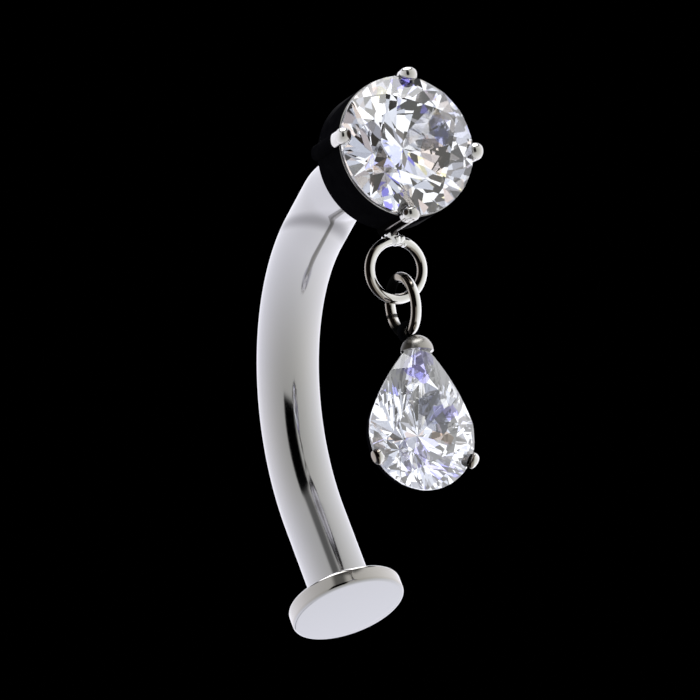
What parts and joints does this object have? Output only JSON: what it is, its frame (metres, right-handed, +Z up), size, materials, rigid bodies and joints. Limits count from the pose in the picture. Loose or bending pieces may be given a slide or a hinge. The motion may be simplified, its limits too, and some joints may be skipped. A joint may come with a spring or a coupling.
{
  "type": "navel ring with pear drop",
  "caption": "Bent navel bar with a prong set round stone, a flat base disc and a hanging pear drop.",
  "frame": {"origin": "middle of the bar's bend, on its centreline, where the piercing holds it", "axes": "+Z up as it is worn, both stones face -Y, +X across it; the bend lies in the plane x = 0"},
  "size_m": [0.0042, 0.0108, 0.0124],
  "materials": {
    "bar_steel": "polished surgical steel",
    "disc_steel": "polished surgical steel",
    "round_stone": "clear faceted stone",
    "ring_metal": "polished silvery wire",
    "drop_metal": "polished, satin on the cap",
    "pear_stone": "clear faceted stone"
  },
  "bodies": {
    "bar": {"bar_and_setting": "bar_steel", "base_disc": "disc_steel", "round_stone": "round_stone"},
    "link": {"jump_ring": "ring_metal"},
    "drop": {"pear_setting": "drop_metal", "pear_stone": "pear_stone"}
  },
  "joints": [
    {"name": "link_swing", "type": "hinge", "parent": "bar", "child": "link", "pos_m": [-0.00034, -0.00752, -0.00016], "axis": [1, 0, 0], "range_deg": [-80, 80]},
    {"name": "drop_swing", "type": "hinge", "parent": "link", "child": "drop", "pos_m": [-0.00044, -0.00785, -0.00109], "axis": [0, 1, 0], "range_deg": [-60, 50]}
  ]
}
